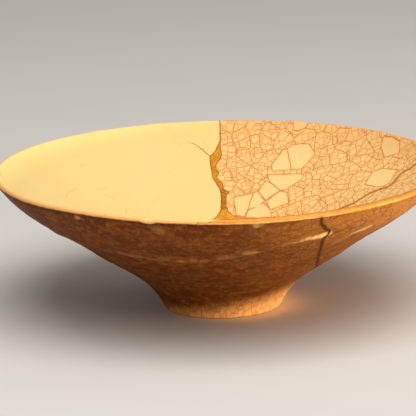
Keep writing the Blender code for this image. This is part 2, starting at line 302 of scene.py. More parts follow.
class Glazes(bpy.types.PropertyGroup):
    """The colours of the glazes, the lacquer and the gold, with painted light and shade in some of them."""

    ivory: colour_property("Ivory", "The plain glaze on the left inside", (0.94, 0.70, 0.285))
    ivory_shade: colour_property("Ivory shade", "Where the plain glaze is thin", (0.93, 0.68, 0.26))
    cell: colour_property("Cell", "The crackled glaze between its cracks", (0.94, 0.61, 0.235))
    pale_cell: colour_property("Pale cell", "The large unbroken cells", (0.95, 0.67, 0.28))
    crack: colour_property("Crack", "The stain in the cracks inside", (0.68, 0.185, 0.030))
    stain: colour_property("Stain", "The stain that spreads beside the cracks", (0.92, 0.42, 0.105))
    # The outside glaze is its own brown, and painted shade as well: these colours are made darker for the
    # shade the outside wall stands in.
    outside: colour_property("Outside", "The crackled glaze outside", (0.130, 0.030, 0.0022))
    outside_pale: colour_property("Outside pale", "The lighter patches outside", (0.235, 0.068, 0.008))
    # Painted light: a lighter, warmer copy of the outside glaze, for where the light falls on the right side.
    outside_painted_light: colour_property("Outside right", "The warmer glaze on the right outside",
                                   (0.54, 0.205, 0.034))
    outside_crack: colour_property("Outside crack", "The cracks outside", (0.065, 0.014, 0.001))
    rust: colour_property("Rust", "Iron spots on the rim", (0.80, 0.20, 0.03))
    # Painted highlight: the pale dashes where the throwing ridge catches the light.
    ridge_highlight: colour_property("Streak", "The thick glaze on the ridge", (0.50, 0.21, 0.055))
    lip: colour_property("Lip", "The thin glaze over the lip", (0.90, 0.42, 0.125))
    gold: colour_property("Gold", "The gold powder", (0.63, 0.250, 0.013))
    gold_bright: colour_property("Gold bright", "Where the gold is rubbed", (0.88, 0.37, 0.035))
    gold_lip: colour_property("Gold lip", "The gold powder on the lip", (0.62, 0.215, 0.024))
    gold_lip_bright: colour_property("Gold lip bright", "Where the gold on the lip is rubbed",
                                     (0.80, 0.315, 0.055))
    hair: colour_property("Hair", "The hairlines in the plain glaze", (0.80, 0.53, 0.13))
    # Pale glaze drops outside, painted brighter as their highlights.
    drop_and_highlight: colour_property("Drop", "Thick pale drops of glaze outside", (0.95, 0.58, 0.22))
    lacquer_thin: colour_property("Lacquer thin", "The lacquer where it is thin", (0.50, 0.185, 0.016))
    lacquer: colour_property("Lacquer", "The brown lacquer", (0.060, 0.016, 0.0015))
    # Painted light: warm light thrown up from the floor onto the foot, given as a colour.
    foot_bounce_light: colour_property("Clay", "The thin glaze over the clay of the foot", (0.96, 0.45, 0.13))


class StageForm(bpy.types.PropertyGroup):
    """The floor, the light and the camera."""

    elevation: angle_property("Elevation", "How far the camera looks down", 13.576)
    roll: angle_property("Roll", "Turn of the camera about its line of sight", 1.339)
    distance: length_property("Distance", "From the camera to the foot, along its line of sight", 0.900)
    aside: length_property("Aside", "How far the camera is moved to its right", -4.25 * MM)
    above: length_property("Above", "How far the camera is moved up", 32.08 * MM)
    lens: FloatProperty(name="Lens", description="Focal length for a 36 mm wide film, in millimetres",
                        default=231.35)
    floor: colour_property("Floor", "The pale floor", (0.74, 0.71, 0.67))


# Drawing and modelling

def start_fresh():
    """Leave edit mode and deselect everything."""
    if bpy.context.object and bpy.context.object.mode != "OBJECT":
        bpy.ops.object.mode_set(mode="OBJECT")
    bpy.ops.object.select_all(action="DESELECT")


def use(thing):
    start_fresh()
    thing.select_set(True)
    bpy.context.view_layer.objects.active = thing
    return thing


def draw_chain(name, points, closed=False):
    """A chain of edges drawn point by point from one vertex; the object is left in edit mode."""
    start_fresh()
    bpy.ops.mesh.primitive_plane_add(size=MM)
    thing = bpy.context.object
    thing.name = thing.data.name = name
    bpy.ops.object.mode_set(mode="EDIT")
    bpy.ops.mesh.merge(type="CENTER")
    bpy.ops.transform.translate(value=points[0])
    for before, after in zip(points, points[1:]):
        bpy.ops.mesh.extrude_vertices_move(TRANSFORM_OT_translate={"value": after - before})
    if closed:
        bpy.ops.object.mode_set(mode="OBJECT")
        for vertex in thing.data.vertices:
            vertex.select = vertex.index in (0, len(points) - 1)
        bpy.ops.object.mode_set(mode="EDIT")
        bpy.ops.mesh.edge_face_add()
    return thing


def on_whole_mesh(operation, **settings):
    """Run a mesh operation on everything, in edit mode."""
    bpy.ops.mesh.select_all(action="SELECT")
    operation(**settings)


def spin_profile(name, profile, steps, angle=math.tau, closed=False):
    """A turned solid, from a section in the XZ plane that goes clockwise from +X."""
    thing = draw_chain(name, [Vector((point.x, 0, point.y)) for point in profile], closed)
    on_whole_mesh(bpy.ops.mesh.spin, steps=steps, angle=angle, center=(0, 0, 0), axis=(0, 0, 1))
    on_whole_mesh(bpy.ops.mesh.remove_doubles, threshold=WELD)
    on_whole_mesh(bpy.ops.mesh.fill_holes, sides=0)
    on_whole_mesh(bpy.ops.mesh.normals_make_consistent, inside=False)
    bpy.ops.object.mode_set(mode="OBJECT")
    return thing


def raise_outline(name, outline, low, high):
    """An upright solid with a closed outline in plan."""
    base = [Vector((point.x, point.y, low)) for point in outline]
    thing = draw_chain(name, base, closed=True)
    on_whole_mesh(bpy.ops.mesh.edge_face_add)
    bpy.ops.mesh.extrude_region_move(TRANSFORM_OT_translate={"value": (0, 0, high - low)})
    on_whole_mesh(bpy.ops.mesh.normals_make_consistent, inside=False)
    bpy.ops.object.mode_set(mode="OBJECT")
    return thing


def work(thing, kind, **settings):
    """Give the active object a modifier and apply it."""
    modifier = thing.modifiers.new(kind.lower(), kind)
    for name, value in settings.items():
        setattr(modifier, name, value)
    bpy.ops.object.modifier_apply(modifier=modifier.name)


def combine(thing, other, operation):
    """Cut or join a solid with another, which goes away."""
    work(use(thing), "BOOLEAN", operation=operation, solver="EXACT", object=other)
    bpy.data.objects.remove(other, do_unlink=True)
    return thing


def duplicate(thing, name):
    use(thing)
    bpy.ops.object.duplicate()
    copy = bpy.context.object
    copy.name = copy.data.name = name
    return copy


def inlay(name, layer, outlines, height, grain):
    """The parts of a thin layer inside the outlines, as one solid with soft edges."""
    parts = []
    for i, outline in enumerate(outlines):
        part = duplicate(layer, f"{name}_{i}")
        parts.append(combine(part, raise_outline("band", outline, -height / 5, height * 1.2), "INTERSECT"))
    bpy.data.objects.remove(layer, do_unlink=True)
    start_fresh()
    for part in parts:
        part.select_set(True)
    bpy.context.view_layer.objects.active = parts[0]
    bpy.ops.object.join()
    whole = use(parts[0])
    whole.name = whole.data.name = name
    work(whole, "REMESH", mode="VOXEL", voxel_size=grain)
    work(whole, "SMOOTH", factor=0.5, iterations=3)
    return whole


def finish_piece(piece, material, slot, *nodes, sharp=40.0):
    """Shade, colour and attach a finished piece, and hide the CAD parts it replaces."""
    use(piece)
    piece.data.materials.clear()
    piece.data.materials.append(material)
    bpy.ops.object.shade_smooth_by_angle(angle=math.radians(sharp))
    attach(piece, "root")
    if nodes:
        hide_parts(*nodes)


def corners_of(thing):
    places = np.empty(len(thing.data.vertices) * 3)
    thing.data.vertices.foreach_get("co", places)
    return places.reshape(-1, 3)


def move_corners(thing, places):
    thing.data.vertices.foreach_set("co", places.ravel())
    thing.data.update()


def store(thing, name, values):
    """Keep one number for each vertex, for the shader to read."""
    layer = thing.data.attributes.new(name, "FLOAT", "POINT")
    layer.data.foreach_set("value", np.asarray(values, dtype=np.float32))


# The section of the bowl

def direction(angle):
    return Vector((math.cos(math.radians(angle)), math.sin(math.radians(angle)), 0))


def arc(centre, radius, start, end, steps):
    angles = (start + (end - start) * i / steps for i in range(steps + 1))
    return [centre + radius * direction(angle) for angle in angles]


def sweep(start, start_angle, end, end_angle, steps, start_handle=None):
    """A cubic curve that leaves and arrives at the given slopes."""
    length = (end - start).length
    leave = start + direction(start_angle) * (start_handle or length / 3)
    arrive = end - direction(end_angle) * length / 3
    return interpolate_bezier(start, leave, arrive, end, steps + 1)


def lip_centre(form):
    return Vector((form.rim_radius - form.lip_round, form.height - form.lip_round, 0))


def outer_face(form, lower_steps, upper_steps):
    """The outside from the foot's lower edge to the lip."""
    inset = form.foot_edge * math.sin(math.radians(form.foot_angle))
    edge_centre = Vector((form.foot_radius - inset, form.foot_edge, 0))
    edge = arc(edge_centre, form.foot_edge, -90, form.foot_angle - 90, 6)
    belly = Vector((form.belly_radius, form.belly_height, 0))
    lip = lip_centre(form) + form.lip_round * direction(form.rim_angle - 90)
    lower = sweep(edge[-1], form.foot_angle, belly, form.belly_angle, lower_steps)
    upper = sweep(belly, form.belly_angle, lip, form.rim_angle, upper_steps)
    return edge + lower[1:] + upper[1:]


def inner_face(form, well_steps, wall_steps):
    """The inside from the middle of the well to the lip."""
    floor = Vector((0, form.floor_height, 0))
    belly = Vector((form.belly_radius, form.belly_height, 0))
    belly = belly + form.belly_wall * direction(form.belly_angle + 90)
    lip = lip_centre(form) + form.lip_round * direction(form.rim_angle + 90)
    well = sweep(floor, 0, belly, form.belly_angle, well_steps, form.well_handle)
    wall = sweep(belly, form.belly_angle, lip, form.rim_angle, wall_steps)
    return well + wall[1:]


def underside(form):
    """The flat foot ring and the recess inside it, out to in."""
    ring_outside = outer_face(form, 4, 4)[0].x
    ring_inside = ring_outside - form.foot_ring
    flat = [Vector((ring_outside - form.foot_ring * share, 0, 0)) for share in (0.33, 0.67, 1)]
    round_centre = Vector((ring_inside - form.foot_edge, form.foot_recess - form.foot_edge, 0))
    corner = arc(round_centre, form.foot_edge, 0, 90, 5)
    roof = [Vector((corner[-1].x * share, form.foot_recess, 0)) for share in (0.75, 0.5, 0.25, 0)]
    return flat + corner + roof


def bowl_profile(form):
    """The whole section, from the well over the lip and down the outside to the recess."""
    lip = arc(lip_centre(form), form.lip_round, form.rim_angle + 90, form.rim_angle - 90, LIP_STEPS)
    inside = inner_face(form, WELL_STEPS, WALL_STEPS)
    outside = outer_face(form, LOWER_STEPS, UPPER_STEPS)
    return inside + lip[1:-1] + outside[::-1] + underside(form)


def layer_profile(form, rise, sink, start):
    """A closed band over the inside, from a height above the glaze to a depth below it."""
    face = [point for point in inner_face(form, WELL_STEPS, WALL_STEPS) if point.x > start]
    slopes = [(after - before).normalized() for before, after in zip(face, face[1:])]
    slopes.append(slopes[-1])
    normals = [Vector((-slope.y, slope.x, 0)) for slope in slopes]
    above = [point + normal * rise for point, normal in zip(face, normals)]
    below = [point - normal * sink for point, normal in zip(face, normals)]
    return above + below[::-1]


def profile_run(form):
    """The section as an array, with the distance from the top of the lip, negative inside the bowl."""
    line = np.array([(point.x, point.y) for point in bowl_profile(form)])
    run = np.concatenate([[0], np.cumsum(np.linalg.norm(np.diff(line, axis=0), axis=1))])
    return line, run - run[line[:, 1].argmax()]


def along_profile(form, places):
    """Millimetres from the top of the lip along the section, negative inside the bowl."""
    line, run = profile_run(form)
    section = np.stack([np.hypot(places[:, 0], places[:, 1]), places[:, 2]], axis=-1)
    nearest = np.empty(len(section), dtype=int)
    batch = 20000
    for low in range(0, len(section), batch):
        part = section[low:low + batch]
        gaps = ((part[:, None, :] - line[None, :, :]) ** 2).sum(axis=-1)
        nearest[low:low + batch] = gaps.argmin(axis=1)
    return run[nearest] / MM


def over_the_lip(form, run, rise):
    """Radius and height at a distance along the section and a height above it."""
    line, line_run = profile_run(form)
    step = 0.05 * MM
    before, after, place = (
        np.stack([np.interp(run + shift, line_run, line[:, axis]) for axis in (0, 1)])
        for shift in (-step, step, 0)
    )
    along = (after - before) / np.linalg.norm(after - before, axis=0)
    return place + np.stack([-along[1], along[0]]) * rise


# The breaks in plan

def in_plan(form, share, bearing):
    angle = math.radians(bearing)
    return Vector((math.sin(angle), math.cos(angle), 0)) * share * form.rim_radius


def smooth_between(before, start, end, after, t):
    """A Catmull-Rom step between two values, for numbers and vectors alike."""
    return 0.5 * (
        2 * start + (end - before) * t + (2 * before - 5 * start + 4 * end - after) * t ** 2
        + (3 * start - before - 3 * end + after) * t ** 3
    )


def waver(point):
    """The point moved a little, by its place alone, so that lines that meet still meet."""
    place = point / MM * 0.55
    push = Vector((noise.noise(place), noise.noise(place + Vector((0, 0, 40))), 0))
    return point + push * 0.2 * MM


def smooth_stations(form, stations, steps=6):
    """A break as closely spaced points and half-widths, in metres, on a smooth line."""
    points = [in_plan(form, share, bearing) for share, bearing, half_width in stations]
    widths = [half_width * MM for share, bearing, half_width in stations]
    line = []
    for i in range(len(points) - 1):
        ring = [max(i - 1, 0), i, i + 1, min(i + 2, len(points) - 1)]
        for step in range(steps):
            t = step / steps
            point = smooth_between(*(points[j] for j in ring), t)
            line.append((waver(point), max(0, smooth_between(*(widths[j] for j in ring), t))))
    line.append((waver(points[-1]), widths[-1]))
    return line


def strip_outline(line, ragged=0, seed=0):
    """A closed outline at each station's half-width on both sides, uneven by a share of it."""
    sides = ([], [])
    for i, (point, half_width) in enumerate(line):
        along = line[min(i + 1, len(line) - 1)][0] - line[max(i - 1, 0)][0]
        aside = Vector((-along.y, along.x, 0)).normalized()
        for side, sign in zip(sides, (1, -1)):
            place = point / MM * 0.9 + Vector((seed, sign * 7, 0))
            wander = ragged * (noise.noise(place) + 0.5 * noise.noise(place * 2.7))
            side.append(point + aside * sign * half_width * (1 + wander))
    return sides[0] + sides[1][::-1]


def joined_bands(name, lines, height):
    """Upright bands over several lines, as one solid."""
    bands = []
    for i, line in enumerate(lines):
        reach = height * (0.2 + 0.01 * i)
        bands.append(raise_outline(f"{name}_{i}", strip_outline(line), -reach, height + reach))
    for band in bands[1:]:
        combine(bands[0], band, "UNION")
    return bands[0]


def bond_lines(form):
    """The three breaks with the width that the lacquer has in each, wider and narrower by turns."""
    lines = []
    for stations, half_width in zip(BREAKS, BOND_HALF_WIDTHS):
        line = []
        for point, gold in smooth_stations(form, stations):
            swell = 1 + 0.45 * noise.noise(point / MM * 0.35) + 0.25 * noise.noise(point / MM * 1.1)
            line.append((point, half_width * MM * swell))
        lines.append(line)
    return lines


def gold_outlines(form):
    """The gold in plan: the piece above the fork, and a strip along each break from there."""
    middle = GOLD_LEFT_EDGE + GOLD_FOOT + GOLD_RIGHT_EDGE[::-1]
    corners = [Vector((x, y, 0)) * MM for x, y in middle]
    outlines = [smooth_loop(corners, 3)]
    fork = [station[:2] for station in MAIN_BREAK].index(FORK)
    for seed, stations in enumerate((MAIN_BREAK[fork:], RIGHT_BREAK)):
        gilded = [station for station in stations if station[2] > 0]
        outlines.append(strip_outline(smooth_stations(form, gilded), 0.14, seed))
    return outlines


def smooth_loop(corners, steps):
    """A closed outline through the corners."""
    count = len(corners)
    return [
        smooth_between(*(corners[(i + shift) % count] for shift in (-1, 0, 1, 2)), step / steps)
        for i in range(count) for step in range(steps)
    ]


def widened(outline, margin):
    """The outline moved outward, by a little more or less from place to place."""
    turns = sum(a.x * b.y - b.x * a.y for a, b in zip(outline, outline[1:] + outline[:1]))
    side = math.copysign(margin, turns)
    wide = []
    for before, point, after in zip(outline[-1:] + outline, outline, outline[1:] + outline[:1]):
        along = (after - before).normalized()
        share = 1 + 0.7 * noise.noise(point / MM * 0.8)
        wide.append(point + Vector((along.y, -along.x, 0)) * side * share)
    return wide


def depth_inside(places, outlines):
    """How far each place lies inside the outlines in plan, in metres."""
    best = np.full(len(places), -1.0)
    for outline in outlines:
        corners = np.array([point[:2] for point in outline])
        gap = np.full(len(places), 1.0)
        inside = np.zeros(len(places), dtype=bool)
        for start, end in zip(corners, np.roll(corners, -1, axis=0)):
            leg = end - start
            offset = places[:, :2] - start
            share = (offset @ leg / (leg @ leg)).clip(0, 1)
            gap = np.minimum(gap, np.linalg.norm(offset - share[:, None] * leg, axis=1))
            between = (start[1] > places[:, 1]) != (end[1] > places[:, 1])
            reach = leg[0] * offset[:, 1] / (leg[1] or 1e-12)
            inside ^= between & (offset[:, 0] < reach)
        best = np.maximum(best, np.where(inside, gap, -gap))
    return best


def distance_to(places, line):
    """How far each place is from a line in plan, in metres."""
    points = np.array([point[:2] for point, half_width in line])
    return np.linalg.norm(places[:, None, :2] - points[None, :, :], axis=2).min(axis=1)


# The potter's hand

def bearing_of(places):
    return np.degrees(np.arctan2(places[:, 0], places[:, 1]))


def waves(bearing, bumps):
    """The sum of smooth bumps round the bowl, in metres."""
    return sum(
        height * MM * np.exp(-(((bearing - middle + 180) % 360 - 180) / spread) ** 2)
        for middle, spread, height in bumps
    )


def sway(form, thing):
    """The slow rise and fall of a rim turned by hand, shared by every piece."""
    places = corners_of(thing)
    share = np.hypot(places[:, 0], places[:, 1]) / form.rim_radius
    places[:, 2] += waves(bearing_of(places), RIM_WAVES) * ((share - 0.7) / 0.3).clip(0, 1) ** 2
    move_corners(thing, places)


def roughen(thing, height, fineness):
    """Lift and lower a surface by small soft lumps."""
    places = corners_of(thing)
    lumps = [
        noise.noise(Vector(place) / MM * fineness) + 0.6 * noise.noise(Vector(place) / MM * fineness * 2.9)
        for place in places
    ]
    places[:, 2] += np.array(lumps) * height
    move_corners(thing, places)


def ridge_height(name, bearing):
    """Height of the throwing ridge at each bearing, in metres."""
    path = np.array(RIDGES[name])
    turned = np.where(bearing < path[0, 0] - 1, bearing + 360, bearing)
    return np.interp(turned, path[:, 0], path[:, 1]) * MM


def work_the_outside(form, thing, name, from_lip):
    """The throwing ridge, finer rings and soft lumps on the outside, and a few bumps on the lip."""
    places = corners_of(thing)
    normals = np.empty(len(places) * 3)
    thing.data.vertices.foreach_get("normal", normals)
    normals = normals.reshape(-1, 3)
    bearing = bearing_of(places)
    outside = np.clip((from_lip - 1.5) / 2.5, 0, 1) * (places[:, 2] > 6 * MM)
    ridge = (places[:, 2] - ridge_height(name, bearing)) / MM
    ridge_shape = np.exp(-(ridge / 1.2) ** 2) - 0.4 * np.exp(-((ridge + 2.2) / 1.2) ** 2)
    lumps = np.array([
        noise.noise(Vector(place) / MM * 0.07) + 0.5 * noise.noise(Vector(place) / MM * 0.19)
        for place in places
    ])
    rings = np.sin(places[:, 2] / MM * 2.6 + bearing * 0.02 + 2.0 * lumps)
    broken = np.clip(0.65 + 1.8 * lumps, 0.05, 1.2)
    rise = outside * (form.ridge_rise * ridge_shape * broken + 0.035 * MM * rings + 0.16 * MM * lumps)
    inside = np.clip((-from_lip - 2) / 4, 0, 1)
    rise = rise + inside * 0.05 * MM * lumps
    rise = rise + np.exp(-(from_lip / 1.8) ** 2) * waves(bearing, LIP_BUMPS)
    move_corners(thing, places + normals * rise[:, None])


# Shader maths

class Wire:
    """An output socket that can stand in a Python expression."""

    def __init__(self, shader, socket):
        self.shader = shader
        self.socket = socket

    def maths(self, operation, *values):
        return self.shader.add("ShaderNodeMath", {"operation": operation}, dict(enumerate(values)))

    def __add__(self, other):
        return self.maths("ADD", self, other)

    def __sub__(self, other):
        return self.maths("SUBTRACT", self, other)

    def __rsub__(self, other):
        return self.maths("SUBTRACT", other, self)

    def __mul__(self, other):
        return self.maths("MULTIPLY", self, other)

    def __gt__(self, other):
        return self.maths("GREATER_THAN", self, other)

    def __lt__(self, other):
        return self.maths("LESS_THAN", self, other)

    def __abs__(self):
        return self.maths("ABSOLUTE", self)

    __radd__ = __add__
    __rmul__ = __mul__

    def lowest(self, other):
        return self.maths("MINIMUM", self, other)

    def highest(self, other):
        return self.maths("MAXIMUM", self, other)


class Shader:
    """A material's node tree, with one way to add a node."""

    def __init__(self, name):
        self.material = bpy.data.materials.new(name)
        self.material.use_nodes = True
        self.tree = self.material.node_tree
        self.principled = self.tree.nodes["Principled BSDF"]
        self.place = self.add("ShaderNodeTexCoord", {}, {}, "Object")

    def connect(self, socket, value):
        if isinstance(value, Wire):
            self.tree.links.new(value.socket, socket)
        elif socket.type == "RGBA":
            socket.default_value = (*value, 1)
        else:
            socket.default_value = value

    def add(self, kind, settings, sockets, output=0):
        node = self.tree.nodes.new(kind)
        for name, value in settings.items():
            setattr(node, name, value)
        for name, value in sockets.items():
            self.connect(node.inputs[name], value)
        return Wire(self, node.outputs[output])

    def shine(self, **values):
        """Set or link the finished shader's own sockets."""
        for name, value in values.items():
            label = name.replace("_", " ").title().replace("Ior", "IOR")
            self.connect(self.principled.inputs[label], value)

    def millimetres(self):
        return self.vector("SCALE", self.place, scale=1 / MM)

    def vector(self, operation, *values, scale=None, output=0):
        sockets = dict(enumerate(values))
        if scale is not None:
            sockets["Scale"] = scale
        return self.add("ShaderNodeVectorMath", {"operation": operation}, sockets, output)

    def blend(self, share, first, second):
        settings = {"data_type": "RGBA", "clamp_factor": True}
        return self.add("ShaderNodeMix", settings, {0: share, 6: first, 7: second}, 2)

    def between(self, value, low, high, first=0.0, second=1.0):
        """A smooth step of a value from one number to another."""
        settings = {"interpolation_type": "SMOOTHSTEP"}
        return self.add("ShaderNodeMapRange", settings, {0: value, 1: low, 2: high, 3: first, 4: second})

    def cloud(self, place, size, detail=2.0, roughness=0.5):
        """Soft noise from 0 to 1 with lumps of the given size in millimetres."""
        sockets = {"Vector": place, "Scale": 1 / size, "Detail": detail, "Roughness": roughness}
        return self.add("ShaderNodeTexNoise", {}, sockets)

    def channel(self, colour, index):
        return self.add("ShaderNodeSeparateColor", {}, {"Color": colour}, index)

    def axis(self, place, index):
        return self.add("ShaderNodeSeparateXYZ", {}, {"Vector": place}, index)

    def attribute(self, name):
        return self.add("ShaderNodeAttribute", {"attribute_name": name}, {}, "Fac")

    def cracks(self, place, size, dimensions="2D", randomness=1.0):
        """The distance to the nearest crack of a crackle, in millimetres."""
        settings = {"voronoi_dimensions": dimensions, "feature": "DISTANCE_TO_EDGE"}
        sockets = {"Vector": place, "Scale": 1 / size, "Randomness": randomness}
        return self.add("ShaderNodeTexVoronoi", settings, sockets) * size

    def cell_tints(self, place, size, dimensions="2D", randomness=1.0):
        """A colour for each cell of the same crackle."""
        settings = {"voronoi_dimensions": dimensions, "feature": "F1"}
        sockets = {"Vector": place, "Scale": 1 / size, "Randomness": randomness}
        return self.add("ShaderNodeTexVoronoi", settings, sockets, "Color")

    def bump(self, height, distance, strength=1.0):
        return self.add("ShaderNodeBump", {}, {"Height": height, "Distance": distance, "Strength": strength})


def wavering(shader, place, size, reach):
    """The same place pushed about a little, so that straight cracks bend."""
    push = shader.add("ShaderNodeTexNoise", {}, {"Vector": place, "Scale": 1 / size, "Detail": 1.0}, "Color")
    push = shader.vector("SUBTRACT", push, (0.5, 0.5, 0.5))
    return shader.vector("ADD", place, shader.vector("SCALE", push, scale=reach * 2))


def pale_cell_field(shader, place):
    """Signed distance to the large cells, negative inside, from the half-planes of their sides."""
    flat = shader.vector("MULTIPLY_ADD", place, (1, 1, 0), (0, 0, 1))
    field = None
    for corners in PALE_CELLS:
        middle = np.mean(corners, axis=0)
        inside = None
        for start, end in zip(corners, corners[1:] + corners[:1]):
            start, end = np.array(start), np.array(end)
            normal = np.array([end[1] - start[1], start[0] - end[0]])
            normal = normal / np.linalg.norm(normal)
            if normal @ (middle - start) > 0:
                normal = -normal
            side = shader.vector("DOT_PRODUCT", flat, (*normal, -normal @ start), output="Value")
            inside = side if inside is None else inside.highest(side)
        field = inside if field is None else field.lowest(inside)
    return field


def unrolled(shader, place, from_lip, reach):
    """The inside laid flat: bearings are kept, and the radius is measured along the wall."""
    flat = shader.vector("MULTIPLY", place, (1, 1, 0))
    return shader.vector("SCALE", shader.vector("NORMALIZE", flat), scale=from_lip + reach)


def near_any(shader, place, spots):
    """The strength of each spot in its middle, falling to 0 at its reach."""
    found = None
    for x, y, z, reach, strength in spots:
        gap = shader.vector("DISTANCE", place, (x, y, z), output="Value")
        near = shader.between(gap, reach * 0.35, reach * 1.3, strength, 0.0)
        found = near if found is None else found.highest(near)
    return found


def inside_crackle(shader, place, from_lip, reach):
    """The crackle inside: its lines, the stain beside them, a colour for each cell, and the large cells."""
    flat = wavering(shader, unrolled(shader, place, from_lip, reach), 4.0, 0.40)
    first = shader.cracks(flat, FIRST_CRACKLE)
    first_cell = shader.cell_tints(flat, FIRST_CRACKLE)
    second_place = shader.vector("ADD", flat, shader.vector("SCALE", first_cell, scale=90.0))
    second = shader.cracks(second_place, SECOND_CRACKLE, randomness=0.9)
    second_cell = shader.cell_tints(second_place, SECOND_CRACKLE, randomness=0.9)
    third_place = shader.vector("ADD", flat, shader.vector("SCALE", second_cell, scale=70.0))
    third = shader.cracks(third_place, THIRD_CRACKLE)
    dice = shader.channel(second_cell, 0)
    crowded = shader.cloud(place, 12.0, 1.0)
    third = third + (dice > crowded - 0.22) * 9.0

    field = pale_cell_field(shader, wavering(shader, place, 4.0, 0.25))
    calm = field < 0.0
    rim_of_cell = abs(field)
    far = calm * 9.0
    width = shader.cloud(place, 2.0, 2.0) * 0.16
    strong = shader.between((first + far).lowest(rim_of_cell), width, width + 0.13, 1.0, 0.0)
    fine = shader.between(second + far, width, width + 0.14, 1.0, 0.0)
    finest = shader.between(third + far, width, width + 0.13, 1.0, 0.0)
    faint = shader.between(shader.cloud(place, 6.0, 2.0), 0.36, 0.62, 0.55, 1.0)
    lines = strong.highest(fine * 0.9 * faint).highest(finest * 0.65 * faint)
    nearest = (first + far).lowest(second + far).lowest(rim_of_cell)
    stain = shader.between(nearest, 0.05, 0.7, 1.0, 0.0)
    return lines, stain, second_cell, calm


def outside_colour(shader, place, glazes, from_lip):
    """The brown outside, painted darker as shade: a fine crackle, pale dashes on the ridge painted as its
    highlight, and painted light that makes the right side lighter and warmer, most near the lip.
    """
    bent = wavering(shader, place, 4.0, 0.2)
    coarse = shader.cracks(bent, COARSE_OUTSIDE, "3D")
    fine = shader.cracks(bent, FINE_OUTSIDE, "3D")
    fine_cell = shader.cell_tints(bent, FINE_OUTSIDE, "3D")
    tall = shader.cracks(shader.vector("MULTIPLY", bent, (1, 1, 0.22)), TALL_OUTSIDE, "3D")
    tone = shader.cloud(place, 8.0, 3.0)
    across = shader.axis(place, 0)
    height = shader.axis(place, 2)
    pale = shader.between(shader.channel(fine_cell, 0) * 0.5 + tone * 0.8, 0.40, 0.95)
    body = shader.blend(pale, glazes.outside, glazes.outside_pale)
    # Painted light: the outside is made lighter and warmer towards the right, most near the lip, where the
    # light falls.
    thin = shader.between(across, -5.0, 62.0) * shader.between(from_lip + tone * 6.0, 8.0, 34.0, 0.85, 0.35)
    body = shader.blend(thin, body, glazes.outside_painted_light)
    lines = shader.between(coarse, 0.04, 0.26, 0.65, 0.0).highest(shader.between(fine, 0.03, 0.24, 0.5, 0.0))
    patchy = shader.between(shader.cloud(place, 9.0, 2.0), 0.35, 0.62, 0.55, 1.0)
    low_down = shader.between(height - across * 0.1, 7.0, 14.0, 1.0, 0.0)
    drawn_out = shader.between(tall, 0.03, 0.22, 0.55, 0.0) * low_down
    lines = (lines * patchy * (1 - low_down * 0.6)).highest(drawn_out)
    body = shader.blend(lines, body, glazes.outside_crack)
    # Painted highlight: pale dashes along the ridge where it catches the light, bolder towards the right.
    dashes = shader.between(shader.cloud(shader.vector("MULTIPLY", place, (1, 1, 0.2)), 4.0, 1.0), 0.42, 0.60)
    lit_to_the_right = shader.between(across, -40.0, 30.0, 0.24, 0.36)
    body = shader.blend(shader.attribute("ridge") * (dashes * lit_to_the_right + 0.04), body, glazes.ridge_highlight)
    # Thick pale glaze, with painted highlights on it.
    body = shader.blend(near_any(shader, place, PALE_RUNS_AND_HIGHLIGHTS) * 0.9, body, glazes.drop_and_highlight)
    beside_break = shader.between(shader.attribute("from_break") + tone * 0.6, 0.4, 1.5, 0.65, 0.0)
    body = shader.blend(beside_break, body, glazes.outside_crack)
    # Painted light: the lowest millimetres of the outside lit warm from below, reaching higher on the right.
    painted_foot_light = shader.between(height - across * 0.17 + shader.cloud(place, 2.5) * 2.5, 0.6, 9.2, 1.0, 0.0)
    body = shader.blend(painted_foot_light * (1 - lines * 0.7), body, glazes.foot_bounce_light)
    under_lip = shader.between(from_lip + shader.cloud(place, 4.0) * 1.2, 2.8, 4.4, 1.0, 0.0)
    under_lip = under_lip * shader.between(across, -30.0, 30.0, 0.55, 0.15)
    body = shader.blend(under_lip, body, glazes.outside_crack)
    return body, lines


